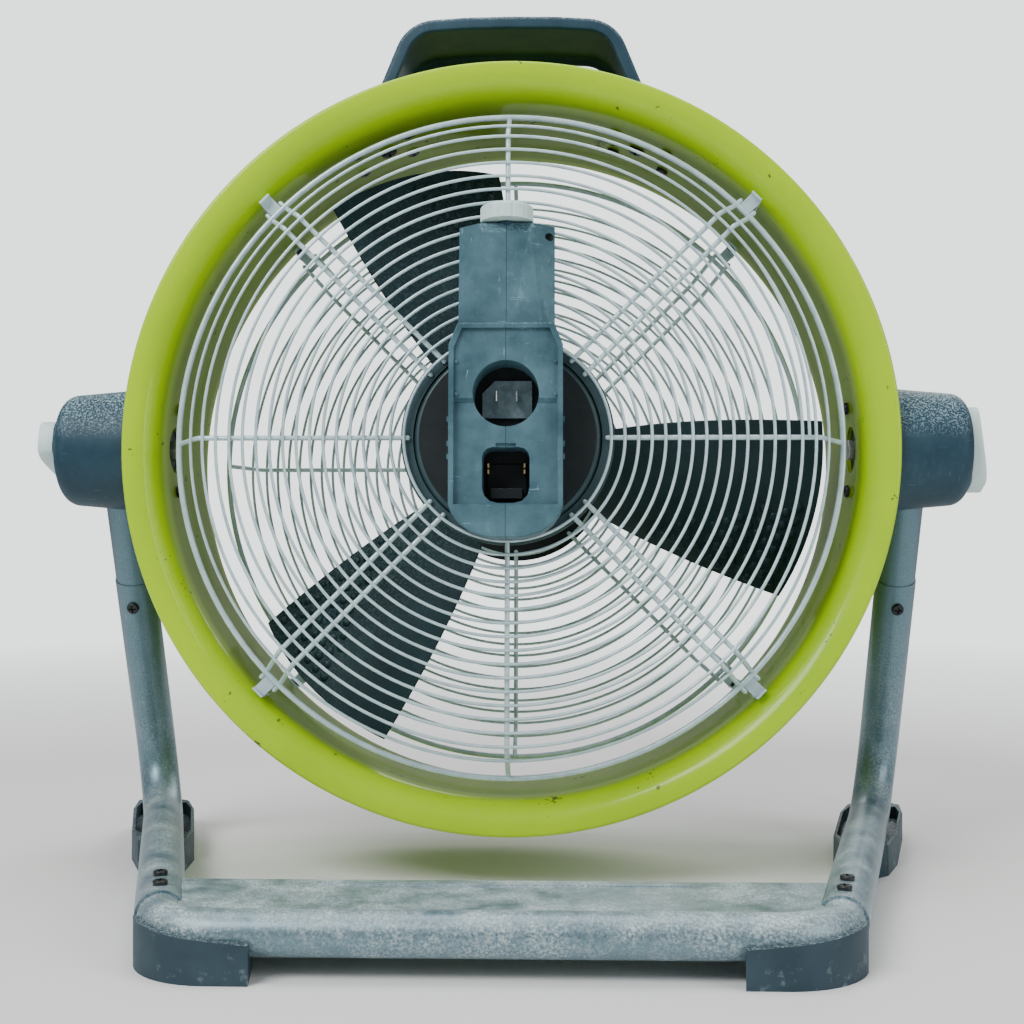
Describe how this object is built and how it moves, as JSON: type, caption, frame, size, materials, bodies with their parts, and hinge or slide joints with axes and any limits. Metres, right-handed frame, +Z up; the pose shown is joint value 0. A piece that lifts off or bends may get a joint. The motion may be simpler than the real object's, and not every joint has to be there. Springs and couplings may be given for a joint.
{
  "type": "axial air mover",
  "caption": "Tilting drum fan: round steel drum with wire guards and a bladed impeller, tilting between two bent legs on a U-shaped tube base, with a combined mains and battery dock",
  "frame": {"origin": "centre of the overall box at floor level", "axes": "+X to the right of someone facing the intake side, +Y the way the air goes, +Z up"},
  "size_m": [0.631, 0.4116, 0.5821],
  "materials": {
    "drum_paint": "gloss lime powder coat on spun steel",
    "dark_plastic": "grained dark slate moulded plastic",
    "impeller_plastic": "dark slate moulded plastic",
    "guard_wire": "pale grey coated steel wire",
    "black_plastic": "black moulded plastic",
    "black_screw": "black oxide screws",
    "zinc_steel": "zinc plated steel",
    "motor_paint": "black motor enamel",
    "bearing_steel": "ground bearing steel",
    "core_steel": "laminated core steel",
    "coil_copper": "enamelled copper winding",
    "inlet_grey": "mid grey moulded plastic",
    "nickel": "bright nickel plate",
    "brass": "brass contact strip",
    "board_green": "solder-masked board",
    "knob_plastic": "pale mint grey moulded plastic",
    "leg_paint": "satin grey-blue metallic powder coat",
    "base_paint": "satin grey-blue powder coat under dust",
    "foot_rubber": "dark slate rubber with scuffed edges",
    "washer_plastic": "acetal washer"
  },
  "bodies": {
    "stand": {"leg_upper_left": "leg_paint", "leg_upper_right": "leg_paint", "leg_lower_left": "leg_paint", "leg_lower_right": "leg_paint", "base_front_tube": "base_paint", "base_deck": "base_paint", "foot_front_left": "foot_rubber", "foot_front_right": "foot_rubber", "foot_rear_left": "foot_rubber", "foot_rear_right": "foot_rubber", "pivot_housing_left": "dark_plastic", "pivot_housing_right": "dark_plastic", "friction_washer_left": "washer_plastic", "friction_washer_right": "washer_plastic", "leg_screws": "black_screw"},
    "head": {"drum_shell": "drum_paint", "handle": "dark_plastic", "dock_shell_left": "dark_plastic", "dock_shell_right": "dark_plastic", "speed_knob_collar": "dark_plastic", "intake_guard": "guard_wire", "outlet_guard": "guard_wire", "guard_clips": "black_plastic", "pivot_disc_left": "black_plastic", "pivot_disc_right": "black_plastic", "outlet_centre_disc": "black_plastic", "motor_front_plate": "black_plastic", "battery_terminal_block": "black_plastic", "speed_potentiometer": "black_plastic", "handle_screws": "black_screw", "handle_bolts": "black_screw", "guard_screws": "black_screw", "pivot_screws": "black_screw", "dock_screws": "black_screw", "pivot_bolt_left": "zinc_steel", "pivot_bolt_right": "zinc_steel", "motor_can": "motor_paint", "motor_end_cap": "motor_paint", "motor_mount_ring": "motor_paint", "motor_bearings": "bearing_steel", "motor_stator": "core_steel", "stator_coils": "coil_copper", "ac_inlet_block": "inlet_grey", "inlet_prongs": "nickel", "battery_contacts": "brass", "control_board": "board_green"},
    "impeller": {"impeller": "impeller_plastic", "motor_shaft": "zinc_steel", "motor_rotor": "core_steel", "impeller_nut": "zinc_steel"},
    "speed_knob": {"speed_knob": "knob_plastic", "potentiometer_shaft": "zinc_steel"},
    "tilt_knob_left": {"tilt_knob_left": "knob_plastic"},
    "tilt_knob_right": {"tilt_knob_right": "knob_plastic"}
  },
  "joints": [
    {"name": "head_tilt", "type": "hinge", "parent": "stand", "child": "head", "pos_m": [0, 0.05156, 0.285], "axis": [1, 0, 0], "range_deg": [-40, 94]},
    {"name": "impeller_spin", "type": "hinge", "parent": "head", "child": "impeller", "pos_m": [0, 0.05156, 0.285], "axis": [0, 0.9976, -0.0698], "continuous": true},
    {"name": "speed_turn", "type": "hinge", "parent": "head", "child": "speed_knob", "pos_m": [0, -0.03079, 0.4291], "axis": [0, -0.0698, -0.9976], "range_deg": [0, 270]},
    {"name": "tilt_knob_left_turn", "type": "hinge", "parent": "head", "child": "tilt_knob_left", "pos_m": [-0.309, 0.05156, 0.285], "axis": [-1, 0, 0], "range_deg": [-360, 0]},
    {"name": "tilt_knob_right_turn", "type": "hinge", "parent": "head", "child": "tilt_knob_right", "pos_m": [0.309, 0.05156, 0.285], "axis": [1, 0, 0], "range_deg": [-360, 0]}
  ]
}
